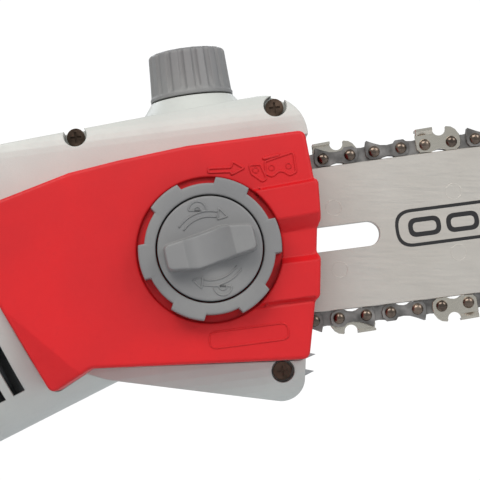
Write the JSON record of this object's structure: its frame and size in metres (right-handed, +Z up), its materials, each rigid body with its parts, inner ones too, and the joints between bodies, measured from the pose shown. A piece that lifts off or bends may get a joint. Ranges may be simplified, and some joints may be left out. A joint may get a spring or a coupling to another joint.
{
  "type": "telescoping pole saw",
  "caption": "Electric chain saw head with a red sprocket cover and tensioning dial, on a tilting, telescoping two-tube pole with a closed-loop rear handle.",
  "frame": {"origin": "on the pole's axis, in the middle of the bare stretch of the outer tube where a storage clip holds it", "axes": "+X along the pole towards the saw head, +Z up with the bar's plane vertical, the sprocket cover facing -Y"},
  "size_m": [1.7419, 0.1064, 0.209],
  "materials": {
    "handle_shell_left": "fine-textured injection-moulded plastic, warm off-white",
    "handle_shell_right": "fine-textured injection-moulded plastic, warm off-white",
    "outer_tube": "anodised aluminium",
    "clamp_socket": "fine-textured dark grey plastic",
    "clamp_collet": "fine-textured black plastic",
    "clamp_collar": "fine-textured injection-moulded plastic, mid grey",
    "fore_grip": "soft foam rubber, black",
    "strap_eye": "fine-textured black plastic",
    "switch_block": "fine-textured dark grey plastic",
    "inlet_block": "fine-textured black plastic",
    "inlet_pins": "nickel-plated brass pins",
    "handle_screws": "black oxide steel",
    "trigger": "fine-textured injection-moulded plastic, red",
    "lock_off_button": "fine-textured black plastic",
    "inner_tube": "anodised aluminium",
    "guide_bush": "fine-textured black plastic",
    "tilt_tongue": "die-cast alloy, dark grey",
    "tongue_bolt": "machined steel",
    "friction_washers": "pressed fibre",
    "tilt_bolt": "machined steel",
    "tilt_knob": "fine-textured black plastic",
    "housing_left": "fine-textured injection-moulded plastic, warm off-white",
    "housing_right": "fine-textured injection-moulded plastic, warm off-white",
    "housing_screws": "black oxide steel",
    "gear_case": "die-cast aluminium",
    "spindle_bearings": "machined steel",
    "motor_bearings": "machined steel",
    "stator": "dark heat-treated steel",
    "field_coils": "enamelled copper winding",
    "brush_holders": "machined brass",
    "carbon_brushes": "pressed carbon",
    "oil_tank": "translucent moulded plastic",
    "oil_pump": "fine-textured injection-moulded plastic, mid grey",
    "pump_gear": "machined brass",
    "bumper_spikes": "machined steel",
    "bar_stud": "machined steel",
    "sprocket_cover": "fine-textured injection-moulded plastic, red",
    "spindle": "machined steel",
    "crown_gear": "dark heat-treated steel",
    "sprocket": "dark heat-treated steel",
    "sprocket_clip": "black spring steel",
    "motor_shaft": "machined steel",
    "armature": "laminated steel with enamelled copper winding",
    "commutator": "machined copper",
    "fan": "fine-textured dark grey plastic",
    "pinion": "machined steel",
    "guide_bar": "satin lacquered steel, light warm grey",
    "tension_lug": "dark heat-treated steel",
    "chain_straps": "dark heat-treated steel",
    "cutters_left": "hard-chromed steel",
    "cutters_right": "hard-chromed steel",
    "chain_rivets": "dark heat-treated steel",
    "drive_links": "dark heat-treated steel",
    "nose_sprocket": "dark heat-treated steel",
    "tension_ring": "fine-textured injection-moulded plastic, mid grey",
    "tension_scroll": "dark heat-treated steel",
    "knob_insert": "machined brass",
    "clamp_dial": "fine-textured injection-moulded plastic, mid grey",
    "oil_cap": "fine-textured injection-moulded plastic, mid grey",
    "cap_seal": "nitrile rubber"
  },
  "bodies": {
    "rear": {"handle_shell_left": "handle_shell_left", "handle_shell_right": "handle_shell_right", "outer_tube": "outer_tube", "clamp_socket": "clamp_socket", "clamp_collet": "clamp_collet", "fore_grip": "fore_grip", "strap_eye": "strap_eye", "switch_block": "switch_block", "inlet_block": "inlet_block", "inlet_pins": "inlet_pins", "handle_screws": "handle_screws"},
    "collar": {"clamp_collar": "clamp_collar"},
    "trigger": {"trigger": "trigger"},
    "lock_off": {"lock_off_button": "lock_off_button"},
    "boom": {"inner_tube": "inner_tube", "guide_bush": "guide_bush", "tilt_tongue": "tilt_tongue", "tongue_bolt": "tongue_bolt", "friction_washers": "friction_washers"},
    "head": {"tilt_bolt": "tilt_bolt", "housing_left": "housing_left", "housing_right": "housing_right", "housing_screws": "housing_screws", "gear_case": "gear_case", "spindle_bearings": "spindle_bearings", "motor_bearings": "motor_bearings", "stator": "stator", "field_coils": "field_coils", "brush_holders": "brush_holders", "carbon_brushes": "carbon_brushes", "oil_tank": "oil_tank", "oil_pump": "oil_pump", "bumper_spikes": "bumper_spikes", "bar_stud": "bar_stud", "sprocket_cover": "sprocket_cover"},
    "tilt_knob": {"tilt_knob": "tilt_knob"},
    "spindle": {"spindle": "spindle", "crown_gear": "crown_gear", "sprocket": "sprocket", "sprocket_clip": "sprocket_clip"},
    "armature": {"motor_shaft": "motor_shaft", "armature": "armature", "commutator": "commutator", "fan": "fan", "pinion": "pinion"},
    "pump": {"pump_gear": "pump_gear"},
    "bar": {"guide_bar": "guide_bar", "tension_lug": "tension_lug", "chain_straps": "chain_straps", "cutters_left": "cutters_left", "cutters_right": "cutters_right", "chain_rivets": "chain_rivets", "drive_links": "drive_links"},
    "nose": {"nose_sprocket": "nose_sprocket"},
    "ring": {"tension_ring": "tension_ring", "tension_scroll": "tension_scroll"},
    "insert": {"knob_insert": "knob_insert"},
    "dial": {"clamp_dial": "clamp_dial"},
    "seal": {"cap_seal": "cap_seal"},
    "cap": {"oil_cap": "oil_cap"}
  },
  "joints": [
    {"name": "pole_slide", "type": "slide", "parent": "rear", "child": "boom", "axis": [1, 0, 0], "range_m": [0, 0.8]},
    {"name": "collar_turn", "type": "hinge", "parent": "rear", "child": "collar", "pos_m": [0.47, 0, 0], "axis": [1, 0, 0], "range_deg": [0, 120]},
    {"name": "trigger_press", "type": "slide", "parent": "rear", "child": "trigger", "axis": [0, 0, 1], "range_m": [0, 0.006], "stiffness_N_per_m": 900, "springref_m": -0.004},
    {"name": "lock_off_press", "type": "slide", "parent": "rear", "child": "lock_off", "axis": [0, 0, -1], "range_m": [0, 0.004], "stiffness_N_per_m": 900, "springref_m": -0.003},
    {"name": "head_tilt", "type": "hinge", "parent": "boom", "child": "head", "pos_m": [0.6, 0, 0], "axis": [0, -1, 0], "range_deg": [-72, 33]},
    {"name": "tilt_knob_turn", "type": "hinge", "parent": "head", "child": "tilt_knob", "pos_m": [0.6, -0.034, 0], "axis": [0, -1, 0], "range_deg": [0, 360]},
    {"name": "spindle_turn", "type": "hinge", "parent": "head", "child": "spindle", "pos_m": [0.78266, -0.024, 0.09307], "axis": [0, 1, 0], "continuous": true, "deforming": ["drive_links"]},
    {"name": "motor_turn", "type": "hinge", "parent": "head", "child": "armature", "pos_m": [0.6891, 0, 0.0454], "axis": [0.891, 0, 0.454], "continuous": true},
    {"name": "pump_turn", "type": "hinge", "parent": "head", "child": "pump", "pos_m": [0.79483, 0.033, 0.0772], "axis": [0, 1, 0], "continuous": true},
    {"name": "ring_turn", "type": "hinge", "parent": "head", "child": "ring", "pos_m": [0.82767, -0.051, 0.09899], "axis": [0, 1, 0], "range_deg": [0, 300]},
    {"name": "bar_slide", "type": "slide", "parent": "head", "child": "bar", "axis": [0.9914, 0, 0.1305], "range_m": [-0.003, 0]},
    {"name": "nose_turn", "type": "hinge", "parent": "bar", "child": "nose", "pos_m": [1.01812, -0.024, 0.12407], "axis": [0, 1, 0], "continuous": true},
    {"name": "insert_lift", "type": "slide", "parent": "head", "child": "insert", "axis": [0, -1, 0], "range_m": [0, 0.0025]},
    {"name": "dial_turn", "type": "hinge", "parent": "insert", "child": "dial", "pos_m": [0.82767, -0.054, 0.09899], "axis": [0, -1, 0], "range_deg": [0, 720]},
    {"name": "seal_lift", "type": "slide", "parent": "head", "child": "seal", "axis": [-0.1305, 0, 0.9914], "range_m": [0, 0.003]},
    {"name": "cap_turn", "type": "hinge", "parent": "seal", "child": "cap", "pos_m": [0.82097, 0, 0.16367], "axis": [-0.1305, 0, 0.9914], "range_deg": [0, 360]}
  ],
  "couplings": [
    {"joint": "motor_turn", "follows": "spindle_turn", "ratio": 4},
    {"joint": "pump_turn", "follows": "spindle_turn", "ratio": -0.33333},
    {"joint": "nose_turn", "follows": "spindle_turn", "ratio": 0.66667},
    {"joint": "ring_turn", "follows": "bar_slide", "rad_per_m": -1745.3},
    {"joint": "dial_turn", "follows": "insert_lift", "rad_per_m": 5026.5},
    {"joint": "seal_lift", "follows": "cap_turn", "m_per_rad": 0.00047746}
  ]
}
